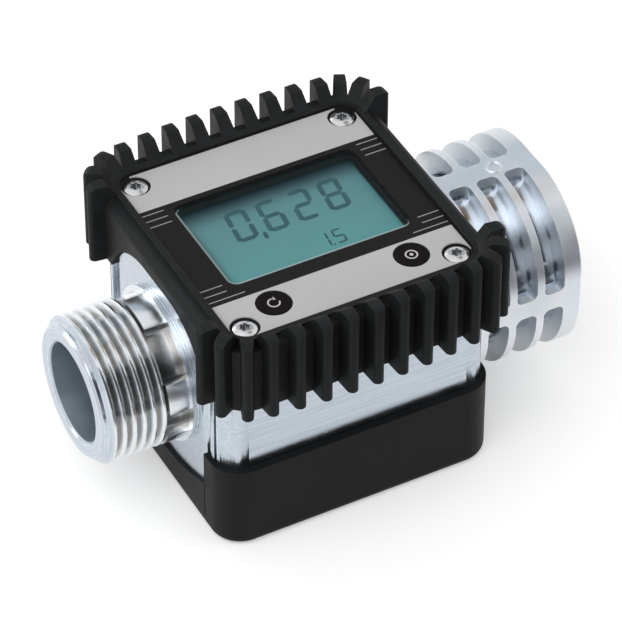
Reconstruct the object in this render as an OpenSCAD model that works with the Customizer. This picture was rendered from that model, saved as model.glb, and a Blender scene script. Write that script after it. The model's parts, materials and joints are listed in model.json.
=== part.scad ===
// Inline digital flow meter: cast body with a threaded inlet and a ribbed threaded outlet,
// a finned guard around a display head, and a black cover under the battery bay.
// X runs along the flow, inlet at -X. Z is up. The origin is the centre of the flat underside.

/* [Body block] */
// Height of the block's underside above the cover's floor
rim_h = 3.6; // [3.2:0.1:5]
// How far the block's ends stand back from the guard's
end_step = 0.8; // [0.4:0.1:1.5]
// How far the block's sides stand back from the head's
side_step = 0.6; // [0.4:0.1:2]
// Radius of the block's upright corners
block_r = 6; // [4:0.5:8]
// Height of the block's shoulder above the axis
shoulder_z = 10.8; // [9:0.1:12]
// Half width of the flat end faces
flat_y = 21; // [20:0.1:22]
// Width of the upright grooves beside the end faces
groove_w = 2.3; // [1:0.1:2.5]
// Depth of these grooves and of the step for the cover
groove_d = 1; // [0.6:0.1:1.5]

/* [Inlet] */
// Reach of the inlet beyond the block
inlet_l = 21.2; // [20:0.1:26]
// Outside radius of the inlet thread
thread_r = 16.624; // [16:0.001:17]
// Distance between thread crests
thread_pitch = 2.309; // [2:0.001:2.4]
// Depth of the thread
thread_depth = 1.479; // [1:0.001:1.6]
// Width of the flat on each crest
crest_w = 0.5; // [0.2:0.05:0.8]
// Number of crests on the inlet
inlet_crests = 6; // [4:1:6]
// Distance of the first crest from the inlet face
first_crest = 2.43; // [2:0.01:3]
// Radius of the inlet bore
inlet_bore_r = 11.2; // [10:0.1:12]
// Radius of the floor of the neck's pockets behind the thread
neck_r = 14.2; // [13.5:0.1:15]
// Angle above the side at which the neck's upper pockets end
neck_top = 72; // [60:1:80]
// Angle of the upper side of the web between the pockets
web_top = 27; // [20:1:35]
// Angle of the lower side of this web
web_foot = 2; // [-5:1:10]
// Angle at which the neck's lower pockets end
neck_foot = -25; // [-40:1:-15]
// Radius of the round boss at the neck's foot
boss_r = 17.5; // [17:0.1:18]
// Height of this boss above the end face
boss_up = 1.15; // [0.5:0.05:2]

/* [Outlet] */
// Reach of the outlet beyond the block
outlet_l = 26; // [25:0.1:30]
// Half side of the outlet collar
collar_h = 22.4; // [21:0.1:24]
// Corner radius of the collar
collar_r = 18; // [15:0.1:20]
// Distance of the first collar rib from the block
rib_gap = 1.4; // [1.2:0.1:2]
// Thickness of a collar rib
rib_t = 1.8; // [1.4:0.1:2.4]
// Distance between collar ribs
rib_pitch = 6.9; // [6:0.05:7.5]
// Length of the end rim
rim_l = 4.1; // [3:0.1:6]
// Width of the lengthwise collar ribs at the top and the bottom
top_spline_w = 5; // [4:0.1:6]
// Width of the lengthwise collar ribs at the sides
side_spline_w = 4.4; // [4:0.1:6]
// Radius in the corners of the pockets between the collar ribs
pocket_r = 1.8; // [0.5:0.1:2.2]
// Radius of the collar's core
core_r = 19.2; // [18.5:0.1:20]
// Crest radius of the outlet thread
socket_r = 15.146; // [15:0.001:15.5]
// Depth of the outlet socket
socket_l = 20; // [16:0.5:22]
// Radius of the round mark on top of the collar
mark_r = 1.9; // [1:0.1:2]
// Distance of this mark from the outlet face
mark_in = 9.5; // [8:0.1:12]

/* [Turbine] */
// Radius of the turbine chamber
chamber_r = 12.6; // [12:0.1:13]
// Distance of the chamber's inlet shoulder from the middle
chamber_x = 20; // [18:0.5:22]
// Length of each support
support_l = 8; // [6:0.5:9]
// Length of the sleeve between the supports
sleeve_l = 20; // [16:0.5:24]
// Wall thickness of rings and sleeve
sleeve_t = 1; // [0.8:0.1:1.5]
// Length of the rotor
rotor_l = 10; // [8:0.5:12]
// Radius of the rotor's hub
hub_r = 4; // [3.6:0.1:5]
// Radius of the shaft
shaft_r = 1; // [0.8:0.05:1.5]
// Radial running clearance of the rotor on its shaft
run_gap = 0.05; // [0.03:0.01:0.1]
// Number of rotor blades
blades = 8; // [6:1:12]
// Thickness of a rotor blade
blade_t = 0.9; // [0.6:0.1:1.5]
// Angle of the rotor blades to the flow
blade_angle = 38; // [25:1:50]
// Number of straightening vanes in each support
vanes = 4; // [3:1:6]

/* [Guard] */
// Thickness of the guard's end walls
guard_end = 3.2; // [2.8:0.1:4]
// Thickness of the guard's side walls
guard_side = 3.5; // [2.8:0.1:4]
// Height of the lip around the face above the shoulder
lip_up = 0.8; // [0.4:0.1:1.1]
// Width of the lip
lip_w = 1.5; // [1:0.1:2]
// Height of the fins' tops above the axis
fin_z = 31; // [30:0.1:32]
// Reach of the middle fins beyond the side walls
fin_out = 4.9; // [4:0.1:7]
// Shortening of the outermost straight fins
fin_bow = 1.4; // [0:0.1:2]
// Distance between fins
fin_pitch = 5.95; // [5:0.05:6.5]
// Number of straight fins on each side of the middle one
fin_half = 4; // [2:1:4]
// Thickness of a fin at its tip
fin_tip = 2.5; // [1.6:0.1:3]
// Thickness of a fin at its root
fin_root = 3.6; // [2.6:0.1:4]
// Length of the flat top of a fin
fin_flat = 2; // [1:0.1:2.4]
// Radius of a fin's upper outer corner
fin_turn = 2; // [1:0.1:2.2]
// Reach of the corner fins beyond the wall's corner
corner_out = 3.8; // [3:0.1:5]
// Angle of the first corner fin
corner_a = 64.4; // [60:0.1:75]
// Angle of the second corner fin
corner_b = 33.6; // [30:0.1:45]
// Angle of the third corner fin
corner_c = 3; // [0:0.1:12]
// Half width of the arches over the pipe ends
arch_y = 22.8; // [22:0.1:24]
// Height of the arches above the axis
arch_z = 22.4; // [21.6:0.1:23.4]
// Radius of the arches' corners
arch_r = 17.5; // [15:0.1:19]

/* [Face] */
// Height of the label's surface above the axis
face_z = 27; // [26.4:0.1:28]
// Length of the label along the flow
label_l = 56.7; // [54:0.1:58]
// Width of the label across the flow
label_w = 57.7; // [55:0.1:58]
// Border of the head beyond the label's ends
border_x = 1.25; // [1:0.05:2]
// Border of the head beyond the label's sides
border_y = 0.75; // [0.6:0.05:2]
// Distance of the face screws from the label's ends
screw_in_x = 3.35; // [3:0.05:4]
// Distance of the face screws from the label's sides
screw_in_y = 3.45; // [3:0.05:4]
// Radius of a face screw's head
screw_head_r = 2.65; // [2:0.05:3]
// Radius of a face screw's shank
screw_r = 1.4; // [1:0.1:1.6]
// Length of the display window
window_l = 43.4; // [40:0.1:46]
// Width of the display window
window_w = 28.5; // [26:0.1:29]
// Distance of the window from the label's back edge
window_back = 13.35; // [12:0.05:14]
// Corner radius of the window
window_r = 2.4; // [1.4:0.1:4]
// Distance of the buttons from the middle along the flow
button_x = 16.25; // [14:0.05:17]
// Distance of the buttons from the label's front edge
button_in = 7.35; // [6.5:0.05:8]
// Radius of a button
button_r = 3.8; // [3:0.05:4]
// Travel of a button
button_travel = 0.5; // [0.3:0.05:0.6]

/* [Lower cover] */
// How far the cover stands out beyond the block's ends
cover_out_x = 0.8; // [0.6:0.1:1.5]
// How far the cover stands out beyond the block's sides
cover_out_y = 2; // [1.4:0.1:3]
// Radius of the cover's upright corners
cover_r = 7; // [5:0.5:9]
// Radius of the cover's bottom edges
cover_edge = 2.2; // [1:0.1:3]
// Depth of the cover's top edge below the axis
cover_top = 9; // [8:0.1:12]
// Depth of the end walls' edge below the axis, in the middle
cover_end = 22.6; // [21:0.1:23]
// Radius of that edge's arc
cover_arc = 47; // [40:0.5:60]
// Thickness of the cover's floor
cover_floor = 2.4; // [2:0.1:3]
// Radius of a battery cell
cell_r = 5.15; // [5:0.05:5.3]
// Length of a battery cell with its nub
cell_l = 44; // [43:0.1:45]
// Wall between the battery bay and the chamber
bay_web = 3.8; // [3:0.1:5]

/* [Hidden] */
$fn = 48;
tiny = 0.02;
// Shared small sizes and the overrun of cuts
gap = 0.1;
slip = 0.3;
hole_gap = 0.15;
press_gap = 0.03;
thin = 0.3;
skin = 0.8;
lap = 1;
big = 90;

// Battery cells, with the seat below them and the air above
cell_seat = 0.4;
cell_air = 0.7;
cell_side = 0.45;
cell_nub_r = 1.9;
cell_nub = 1;
cell_z = cover_floor + cell_seat + cell_r;
cell_y = cell_r + cell_side;

// Heights measured from the underside
bay_top = cell_z + cell_r + cell_air;
z_axis = bay_top + bay_web + chamber_r;
z_floor = cover_floor + rim_h;
z_lip = z_axis - cover_top;
z_shoulder = z_axis + shoulder_z;
z_face = z_axis + face_z;
z_guard = z_face;

// Head stack, from the face down to the platform
label_t = 0.3;
plate_t = 1.9;
lcd_gap = 0.2;
lcd_t = 1.9;
strip_h = 0.9;
board_t = 1;
post_h = 0.6;
tray_floor = 1.1;
gasket_t = 0.5;
z_plate = z_face - label_t - plate_t;
z_lcd = z_plate - lcd_gap - lcd_t;
z_board = z_lcd - strip_h - board_t;
z_tray = z_board - post_h - tray_floor;
z_platform = z_tray - gasket_t;

// Head plan
head_l = label_l + 2 * border_x;
head_w = label_w + 2 * border_y;
head_r = 5;
tray_wall = 1.6;
tray_post_r = 2.8;
rest_r = 1;
rest_in = 9.4;
board_l = head_l - 2 * tray_wall - 2 * slip;
board_w = head_w - 2 * tray_wall - 2 * slip;
board_r = 1;
board_notch = 3.2;
screw_x = label_l / 2 - screw_in_x;
screw_y = label_w / 2 - screw_in_y;
screw_deep = 8;
screw_head_h = 1.7;
screw_cap = 0.5;
lobe_r = 1;
seat_r = screw_head_r + slip;
seat_d = 1.3;
label_r = 1;
label_notch_x = 3.5;
label_notch_y = 3.3;
window_y = label_w / 2 - window_back - window_w / 2;
ledge = 1;
lens_t = 1;
lens_drop = 0.7;
lcd_over = 1;
strip_w = 1;
strip_in = 1.7;
button_y = label_w / 2 - button_in;
button_up = 0.05;
button_rim = 0.9;
button_rim_t = 0.5;
stem_r = 1;
switch_l = 4.5;
switch_h = 1;
plunger_r = 1;
chip_l = 8;
chip_h = 0.8;
part_l = 2;
part_w = 1;
part_h = 0.5;

// Guard plan
guard_in_l = head_l + 4 * gap;
guard_in_w = head_w + 4 * gap;
guard_l = guard_in_l + 2 * guard_end;
guard_w = guard_in_w + 2 * guard_side;
guard_r = 8;
lip_gap = 0.4;
lip_r = 5;
lip_in_l = label_l + 2 * lip_gap;
lip_in_w = label_w + 2 * lip_gap;
lip_out_l = lip_in_l + 2 * lip_w;
lip_out_w = lip_in_w + 2 * lip_w;
corner_in_x = 0.4;
corner_in_y = 0.3;
corner_x = guard_l / 2 - guard_r - corner_in_x;
corner_y = guard_w / 2 - guard_r - corner_in_y;
fin_reach = guard_w / 2 + fin_out;
corner_reach = guard_r + corner_out;
fin_foot = 0.8;
fin_foot_up = 1.2;

// Block plan
block_l = guard_l - 2 * end_step;
block_w = head_w - 2 * side_step;
flat_r = 1.8;
ridge_w = 1;
fine_w = 0.8;
inlet_x = block_l / 2 + inlet_l;
outlet_x = block_l / 2 + outlet_l;
rib_x = block_l / 2 + rib_gap;
thread_root = thread_r - thread_depth;
last_crest = -inlet_x + first_crest + (inlet_crests - 1) * thread_pitch;
chamfer = 0.6;
mark_up = 0.3;
mark_t = 0.4;

// Turbine stations along the flow, from the chamber's shoulder
x_sleeve = -chamber_x + support_l;
x_outlet = x_sleeve + sleeve_l;
x_ring = x_outlet + support_l;
ring_t = 1.2;
ring_bite = 0.6;
ring_slot = 2;
ring_out = chamber_r + ring_bite;
ring_in = chamber_r - sleeve_t;
part_r = chamber_r - gap;
rotor_side = (sleeve_l - rotor_l) / 2;
rotor_x = x_sleeve + rotor_side;
rotor_mid = rotor_x + rotor_l / 2;
rotor_r = part_r - sleeve_t - slip;
support_hub = 3.2;
vane_t = 1.2;
bush_r = 2;
bush_l = 2;
magnet_r = 0.9;
magnet_in = 2.4;
shaft_over = 3;
sensor_r = 2;
sensor_bed = 2.2;
z_sensor = z_axis + chamber_r + sensor_bed;

// Battery bay, its leads and the cover
bay_end = 4;
bay_side = 1.75;
bay_l = cell_l + 2 * bay_end;
bay_w = 2 * (cell_y + cell_r + bay_side);
bay_r = 2;
wire_r = 0.55;
wire_gap = 0.9;
wire_x = -(bay_l / 2 - bay_end);
wire_out = 8;
wire_y = bay_w / 2 + wire_out;
wire_low = 1;
duct_r = 2.2;
duct_h = 4;
seal_w = 3;
seal_t = 2.1;
seal_in = 0.5;
contact_t = 0.4;
contact_w = 9;
contact_h = 8;
leaf_w = 2;
leaf_pad = 3;
cover_l = block_l + 2 * cover_out_x;
cover_w = block_w + 2 * cover_out_y;
line_w = 0.35;
line_d = 0.3;
boss_out_x = 1;
boss_out_y = 5.5;
boss_x = bay_l / 2 + boss_out_x;
boss_y = bay_w / 2 + boss_out_y;
boss_room = 3.5;
cover_screw_r = 1.3;
cover_screw_deep = 7;
cover_head_r = 2.5;
cover_head_t = 1.4;
cover_head_in = 1;
slot_l = 2.4;
slot_w = 0.6;

// Plain shapes

module rrect(l, w, r) {
  square([l - 2 * r, w], center = true);
  square([l, w - 2 * r], center = true);
  for (sx = [-1, 1], sy = [-1, 1]) translate([sx * (l / 2 - r), sy * (w / 2 - r)]) circle(r);
}

module slab(l, w, r, z0, z1) {
  translate([0, 0, z0]) linear_extrude(z1 - z0) rrect(l, w, r);
}

module along_x(x0, x1, r) {
  translate([x0, 0, z_axis]) rotate([0, 90, 0]) cylinder(h = x1 - x0, r = r);
}

module section_x(x0, x1) {
  translate([x0, 0, z_axis]) rotate([90, 0, 90]) linear_extrude(x1 - x0) children();
}

module at_corners(x, y) {
  for (sx = [-1, 1], sy = [-1, 1]) translate([sx * x, sy * y, 0]) children();
}

// A block with one rounded edge all round its base
module soft_block(l, w, h, r, e) {
  translate([0, 0, e]) linear_extrude(h - e) rrect(l, w, r);
  linear_extrude(e) rrect(l - 2 * e, w - 2 * e, r - e);
  for (s = [-1, 1]) {
    translate([-(l / 2 - r), s * (w / 2 - e), e]) rotate([0, 90, 0]) cylinder(h = l - 2 * r, r = e);
    translate([s * (l / 2 - e), w / 2 - r, e]) rotate([90, 0, 0]) cylinder(h = w - 2 * r, r = e);
  }
  for (sx = [-1, 1], sy = [-1, 1]) translate([sx * (l / 2 - r), sy * (w / 2 - r), e])
    rotate_extrude() intersection() {
      translate([r - e, 0]) circle(e);
      translate([0, -e]) square([r, 2 * e]);
    }
}

// Rings with a flat crest on each ridge
module ridge(at, root, crest, flat, foot) {
  translate([at, 0, z_axis]) rotate([0, 90, 0]) rotate_extrude()
    polygon([[root, -foot / 2], [crest, -flat / 2], [crest, flat / 2], [root, foot / 2]]);
}

// Cast body

module block_plan() {
  groove_l = groove_w + flat_r;
  groove_at = flat_y + (groove_w - flat_r) / 2;
  fine_at = flat_y + groove_w + ridge_w + fine_w / 2;
  difference() {
    rrect(block_l, block_w, block_r);
    for (sx = [-1, 1], sy = [-1, 1], g = [[groove_at, groove_l], [fine_at, fine_w]])
      translate([sx * block_l / 2, sy * g[0]]) square([2 * groove_d, g[1]], center = true);
  }
  rrect(block_l, 2 * flat_y, flat_r);
}

module end_opening(grow) {
  // the part of an end face above the cover's edge, seen along the flow
  intersection() {
    translate([0, cover_arc - cover_end]) circle(cover_arc + grow);
    square([2 * (flat_y + lap), 2 * cover_arc], center = true);
  }
}

module arch(less) {
  // the arch over a pipe end, seen along the flow
  foot = -big / 2;
  translate([0, (arch_z + foot) / 2]) rrect(2 * arch_y - 2 * less, arch_z - foot - 2 * less, arch_r - less);
}

module block() {
  z_step = z_lip + gap;
  translate([0, 0, z_step]) linear_extrude(z_shoulder - z_step) block_plan();
  slab(block_l - 2 * groove_d, block_w, block_r, z_floor, z_step + lap);
  slab(head_l, head_w, head_r, z_shoulder - lap, z_platform);
  // the flat end faces reach down to the cover's edge
  intersection() {
    slab(block_l, 2 * flat_y, flat_r, z_floor, z_step + lap);
    section_x(-big / 2, big / 2) end_opening(-gap);
  }
  // and up into the guard's arches
  for (s = [0, 180]) rotate(s) intersection() {
    section_x(head_l / 2 + gap, block_l / 2) arch(slip);
    slab(block_l, 2 * flat_y, flat_r, z_shoulder - lap, z_axis + arch_z);
  }
}

module inlet_outside() {
  along_x(-block_l / 2 - boss_up, -block_l / 2 + lap, boss_r);
  along_x(-inlet_x + chamfer, last_crest + thread_pitch / 2, thread_root);
  translate([-inlet_x, 0, z_axis]) rotate([0, 90, 0])
    cylinder(h = chamfer, r1 = thread_root - chamfer, r2 = thread_root);
  for (k = [0 : inlet_crests - 1])
    ridge(-inlet_x + first_crest + k * thread_pitch, thread_root - tiny, thread_r, crest_w,
      thread_pitch - tiny);
  // the neck behind the thread, with two pockets on each side
  neck_from = last_crest + thread_pitch / 2 - tiny;
  along_x(neck_from, -block_l / 2, neck_r);
  difference() {
    along_x(neck_from, -block_l / 2, thread_r - tiny);
    for (sy = [-1, 1], a = [[neck_foot, web_foot], [web_top, neck_top]])
      section_x(neck_from - lap, -block_l / 2 + lap)
        polygon([[0, 0], [sy * big * cos(a[0]), big * sin(a[0])], [sy * big * cos(a[1]), big * sin(a[1])]]);
  }
}

module collar_pocket(x0, x1, sy, sz) {
  // one pocket between two ribs, rounded in its corners, in the quarter given by two signs
  r = min(pocket_r, (x1 - x0) / 2 - lap);
  intersection() {
    translate([(x0 + x1) / 2, sy * (top_spline_w + big) / 2, z_axis - big / 2])
      linear_extrude(big) rrect(x1 - x0, big, r);
    translate([(x0 + x1) / 2, big / 2, z_axis + sz * (side_spline_w + big) / 2])
      rotate([90, 0, 0]) linear_extrude(big) rrect(x1 - x0, big, r);
  }
}

module collar_outside() {
  along_x(block_l / 2 - lap, outlet_x - tiny, core_r);
  difference() {
    section_x(rib_x, outlet_x) rrect(2 * collar_h, 2 * collar_h, collar_r);
    for (k = [0 : 2], sy = [-1, 1], sz = [-1, 1])
      collar_pocket(rib_x + k * rib_pitch + rib_t, k < 2 ? rib_x + (k + 1) * rib_pitch : outlet_x - rim_l,
        sy, sz);
  }
}

module flow_way() {
  along_x(-inlet_x - lap, -chamber_x + tiny, inlet_bore_r);
  translate([-inlet_x - tiny, 0, z_axis]) rotate([0, 90, 0])
    cylinder(h = chamfer + tiny, r1 = inlet_bore_r + chamfer, r2 = inlet_bore_r);
  along_x(-chamber_x, outlet_x - socket_l + tiny, chamber_r);
  along_x(outlet_x - socket_l, outlet_x + lap, socket_r);
  // groove for the retaining ring
  along_x(x_ring, x_ring + ring_t + gap, ring_out + gap);
  // outlet thread valleys
  turns = floor((socket_l - thread_pitch) / thread_pitch);
  for (k = [0 : turns - 1])
    ridge(outlet_x - first_crest - k * thread_pitch, socket_r - tiny, thread_r, crest_w,
      thread_pitch - crest_w);
  translate([outlet_x - chamfer, 0, z_axis]) rotate([0, 90, 0])
    cylinder(h = chamfer + tiny, r1 = socket_r, r2 = socket_r + chamfer);
}

module meter_body() {
  color([0.76, 0.77, 0.78]) difference() {
    union() {
      block();
      inlet_outside();
      collar_outside();
      // round mark on the collar
      translate([outlet_x - mark_in, 0, z_axis + collar_h - lap]) difference() {
        cylinder(h = lap + mark_up, r = mark_r);
        translate([0, 0, lap]) cylinder(h = lap, r = mark_r - mark_t);
      }
    }
    flow_way();
    // battery bay
    slab(bay_l, bay_w, bay_r, z_floor - lap, bay_top);
    // screw holes
    at_corners(screw_x, screw_y) translate([0, 0, z_platform - screw_deep - lap])
      cylinder(h = big, r = screw_r + hole_gap);
    at_corners(boss_x, boss_y) translate([0, 0, z_floor - lap])
      cylinder(h = cover_screw_deep + 2 * lap, r = cover_screw_r + hole_gap);
    // wire duct
    translate([wire_x, wire_y, z_floor]) cylinder(h = z_platform, r = duct_r);
    translate([wire_x - duct_r, bay_w / 2 - lap, z_floor - lap])
      cube([2 * duct_r, wire_y - bay_w / 2 + lap, lap + duct_h]);
    // bed of the pulse sensor
    translate([rotor_mid, 0, z_sensor]) cylinder(h = big, r = sensor_r + hole_gap);
  }
}

// Turbine cartridge

module support(x0, nose) {
  difference() {
    along_x(x0, x0 + support_l, part_r);
    along_x(x0 - lap, x0 + support_l + lap, part_r - sleeve_t);
  }
  intersection() {
    along_x(x0, x0 + support_l, part_r - tiny);
    translate([0, 0, z_axis]) for (k = [0 : vanes - 1]) rotate([45 + k * 360 / vanes, 0, 0])
      translate([x0, -vane_t / 2, 0]) cube([support_l, vane_t, part_r]);
  }
  // the hub reaches towards the rotor
  reach = rotor_side - slip;
  along_x(nose < 0 ? x0 : x0 - reach, nose < 0 ? x0 + support_l + reach : x0 + support_l, support_hub);
}

module shaft_hole() {
  along_x(rotor_x - rotor_side - shaft_over, rotor_x + rotor_l + rotor_side + shaft_over,
    shaft_r + press_gap);
}

module inlet_support() {
  color([0.16, 0.17, 0.18]) difference() { support(-chamber_x, -1); shaft_hole(); }
}

module outlet_support() {
  color([0.16, 0.17, 0.18]) difference() { support(x_outlet, 1); shaft_hole(); }
}

module chamber_sleeve() {
  color([0.2, 0.21, 0.22]) difference() {
    along_x(x_sleeve, x_outlet, part_r);
    along_x(x_sleeve - lap, x_outlet + lap, part_r - sleeve_t);
  }
}

module rotor_shaft() {
  color([0.7, 0.7, 0.72]) along_x(rotor_x - rotor_side - shaft_over + gap,
    rotor_x + rotor_l + rotor_side + shaft_over - gap, shaft_r);
}

module turbine_rotor() {
  color([0.9, 0.9, 0.88]) difference() {
    union() {
      along_x(rotor_x, rotor_x + rotor_l, hub_r);
      intersection() {
        along_x(rotor_x, rotor_x + rotor_l, rotor_r);
        translate([rotor_mid, 0, z_axis]) for (k = [0 : blades - 1])
          rotate([k * 360 / blades, 0, 0]) rotate([0, 0, blade_angle])
            translate([-rotor_l, -blade_t / 2, hub_r - lap]) cube([2 * rotor_l, blade_t, rotor_r]);
      }
    }
    along_x(rotor_x - lap, rotor_x + rotor_l + lap, shaft_r + run_gap);
    along_x(rotor_x - lap, rotor_x + bush_l, bush_r + tiny);
    along_x(rotor_x + rotor_l - bush_l, rotor_x + rotor_l + lap, bush_r + tiny);
    translate([rotor_mid, 0, z_axis]) for (s = [0, 180]) rotate([s + 22.5, 0, 0])
      translate([0, 0, magnet_in]) cylinder(h = hub_r, r = magnet_r + tiny);
  }
}

module rotor_bushes() {
  color([0.75, 0.6, 0.3]) for (x = [rotor_x, rotor_x + rotor_l - bush_l]) difference() {
    along_x(x, x + bush_l, bush_r);
    along_x(x - lap, x + bush_l + lap, shaft_r + run_gap);
  }
}

module rotor_magnets() {
  color([0.45, 0.45, 0.47]) translate([rotor_mid, 0, z_axis])
    for (s = [0, 180]) rotate([s + 22.5, 0, 0])
      translate([0, 0, magnet_in]) cylinder(h = hub_r - magnet_in - gap, r = magnet_r);
}

module retaining_ring() {
  color([0.6, 0.6, 0.62]) difference() {
    along_x(x_ring, x_ring + ring_t, ring_out);
    along_x(x_ring - lap, x_ring + ring_t + lap, ring_in);
    // the open ends of the ring
    translate([x_ring - lap, -ring_slot / 2, z_axis - ring_out - lap])
      cube([ring_t + 2 * lap, ring_slot, ring_out]);
  }
}

module pulse_sensor() {
  color([0.12, 0.12, 0.13]) translate([rotor_mid, 0, z_sensor])
    cylinder(h = z_board - z_sensor, r = sensor_r);
}

// Display head

module head_holes() {
  at_corners(screw_x, screw_y) translate([0, 0, z_platform - lap])
    cylinder(h = big, r = screw_r + hole_gap);
  deep = z_board - z_platform + lap;
  translate([wire_x, wire_y, z_platform - lap]) cylinder(h = deep, r = duct_r - slip);
  translate([rotor_mid, 0, z_platform - lap]) cylinder(h = deep, r = sensor_r + hole_gap);
}

module head_gasket() {
  color([0.08, 0.08, 0.08]) difference() {
    slab(head_l, head_w, head_r, z_platform, z_tray);
    head_holes();
  }
}

module display_tray() {
  color([0.09, 0.1, 0.1]) difference() {
    union() {
      difference() {
        slab(head_l, head_w, head_r, z_tray, z_plate);
        slab(head_l - 2 * tray_wall, head_w - 2 * tray_wall, head_r - tray_wall, z_tray + tray_floor,
          z_plate + lap);
      }
      at_corners(screw_x, screw_y) translate([0, 0, z_tray]) cylinder(h = z_plate - z_tray, r = tray_post_r);
      at_corners(screw_x, screw_y - rest_in) translate([0, 0, z_tray])
        cylinder(h = tray_floor + post_h, r = rest_r);
    }
    head_holes();
  }
}

module circuit_board() {
  cut_z = z_board - lap;
  color([0.05, 0.28, 0.14]) difference() {
    slab(board_l, board_w, board_r, z_board, z_board + board_t);
    at_corners(screw_x, screw_y) translate([0, 0, cut_z]) cylinder(h = board_t + 2 * lap, r = board_notch);
    at_corners(board_l / 2, board_w / 2) translate([0, 0, z_board])
      cube([2 * board_notch, 2 * board_notch, 2 * (board_t + lap)], center = true);
    for (s = [-1, 1]) translate([wire_x + s * wire_gap, wire_y, cut_z])
      cylinder(h = board_t + 2 * lap, r = wire_r + gap);
  }
}

module board_parts() {
  color([0.1, 0.1, 0.11]) translate([0, 0, z_board + board_t]) {
    translate([-chip_l / 2, 0, 0]) cube([chip_l, chip_l, chip_h]);
    translate([chip_l, -chip_l / 2, 0]) cube([chip_l / 2, chip_l / 4, chip_h]);
    for (k = [0 : 4]) translate([-2 * chip_l + 2 * k * part_w, -chip_l, 0]) cube([part_w, part_l, part_h]);
    for (k = [0 : 2]) translate([chip_l + 3 * k * part_w, 3 * part_w, 0]) cube([part_l, part_w, part_h]);
  }
}

module button_switches() {
  color([0.55, 0.56, 0.58]) for (s = [-1, 1]) translate([s * button_x, -button_y, z_board + board_t]) {
    translate([-switch_l / 2, -switch_l / 2, 0]) cube([switch_l, switch_l, switch_h]);
    cylinder(h = switch_h + thin, r = plunger_r);
  }
}

module lcd_strips() {
  long = window_l - 2 * strip_in;
  color([0.7, 0.72, 0.74]) for (s = [-1, 1])
    translate([-long / 2, window_y + s * (window_w + strip_w) / 2 - strip_w / 2, z_board + board_t])
      cube([long, strip_w, strip_h]);
}

module lcd_panel() {
  color([0.36, 0.52, 0.52])
    translate([-window_l / 2 - lcd_over, window_y - window_w / 2 - lcd_over, z_lcd])
      cube([window_l + 2 * lcd_over, window_w + 2 * lcd_over, lcd_t]);
}

module window_lens() {
  color([0.8, 0.9, 0.92, 0.3]) translate([0, window_y, 0])
    slab(window_l - 2 * gap, window_w - 2 * gap, window_r, z_face - lens_drop - lens_t, z_face - lens_drop);
}

module button_holes() {
  for (s = [-1, 1]) translate([s * button_x, -button_y, z_plate - lap])
    cylinder(h = big, r = button_r + hole_gap);
}

module face_plate() {
  color([0.07, 0.07, 0.08]) difference() {
    slab(head_l, head_w, head_r, z_plate, z_face - label_t);
    // the opening keeps a ledge for the lens
    translate([0, window_y, 0]) {
      slab(window_l - 2 * ledge, window_w - 2 * ledge, window_r - ledge, z_plate - lap, z_face);
      slab(window_l, window_w, window_r, z_face - lens_drop - lens_t, z_face + lap);
    }
    button_holes();
    at_corners(screw_x, screw_y) {
      translate([0, 0, z_plate - lap]) cylinder(h = big, r = screw_r + hole_gap);
      translate([0, 0, z_face - label_t - seat_d]) cylinder(h = big, r = seat_r);
    }
  }
}

module face_label() {
  color([0.7, 0.69, 0.69]) difference() {
    slab(label_l, label_w, label_r, z_face - label_t, z_face);
    translate([0, window_y, 0]) slab(window_l, window_w, window_r, z_plate, z_face + lap);
    button_holes();
    at_corners(screw_x, screw_y) translate([0, 0, z_plate]) cylinder(h = big, r = seat_r + slip);
    // the label leaves the corners outside the screws free
    at_corners(label_l / 2, label_w / 2) translate([0, 0, z_face])
      cube([2 * label_notch_x, 2 * label_notch_y, 2 * (label_t + lap)], center = true);
  }
}

module button(x) {
  translate([x, -button_y, 0]) {
    rim_top = z_plate - gap;
    translate([0, 0, rim_top - tiny]) cylinder(h = z_face + button_up - rim_top + tiny, r = button_r);
    translate([0, 0, rim_top - button_rim_t]) cylinder(h = button_rim_t, r = button_r + button_rim);
    stem_end = z_board + board_t + switch_h + thin + button_travel + gap;
    translate([0, 0, stem_end]) cylinder(h = z_plate - stem_end, r = stem_r);
  }
}

module reset_button() { color([0.1, 0.1, 0.11]) button(-button_x); }
module cal_button() { color([0.1, 0.1, 0.11]) button(button_x); }

module face_screws() {
  seat = z_face - label_t - seat_d;
  bottom = z_platform - screw_deep;
  neck = screw_head_h - screw_cap;
  color([0.85, 0.86, 0.88]) at_corners(screw_x, screw_y) difference() {
    union() {
      translate([0, 0, seat]) cylinder(h = neck, r = screw_head_r);
      translate([0, 0, seat + neck])
        cylinder(h = screw_cap, r1 = screw_head_r, r2 = screw_head_r - 2 * screw_cap);
      translate([0, 0, bottom]) cylinder(h = seat - bottom + tiny, r = screw_r);
    }
    // six-lobed socket
    translate([0, 0, seat + screw_cap]) {
      cylinder(h = screw_head_h, r = lobe_r);
      for (k = [0 : 5]) rotate(k * 60) translate([lobe_r, 0, 0]) cylinder(h = screw_head_h, r = thin);
    }
  }
}

// Finned guard

module fin_profile(reach, start) {
  // seen from the side: x is the distance out, y the height above the axis
  top_in = reach - fin_turn - fin_flat;
  intersection() {
    union() {
      polygon([[start, shoulder_z], [reach, shoulder_z], [reach, fin_z - fin_turn], [reach - fin_turn, fin_z],
        [top_in, fin_z], [start + fin_foot, face_z + fin_foot_up], [start, face_z + lip_up - gap]]);
      translate([reach - fin_turn, fin_z - fin_turn]) circle(fin_turn);
    }
    translate([start, shoulder_z]) square([reach - start, fin_z]);
  }
}

module fin_plan(reach, start) {
  polygon([[start - lap, -fin_root / 2], [reach - fin_tip / 2, -fin_tip / 2],
    [reach - fin_tip / 2, fin_tip / 2], [start - lap, fin_root / 2]]);
  translate([reach - fin_tip / 2, 0]) circle(fin_tip / 2);
}

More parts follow.
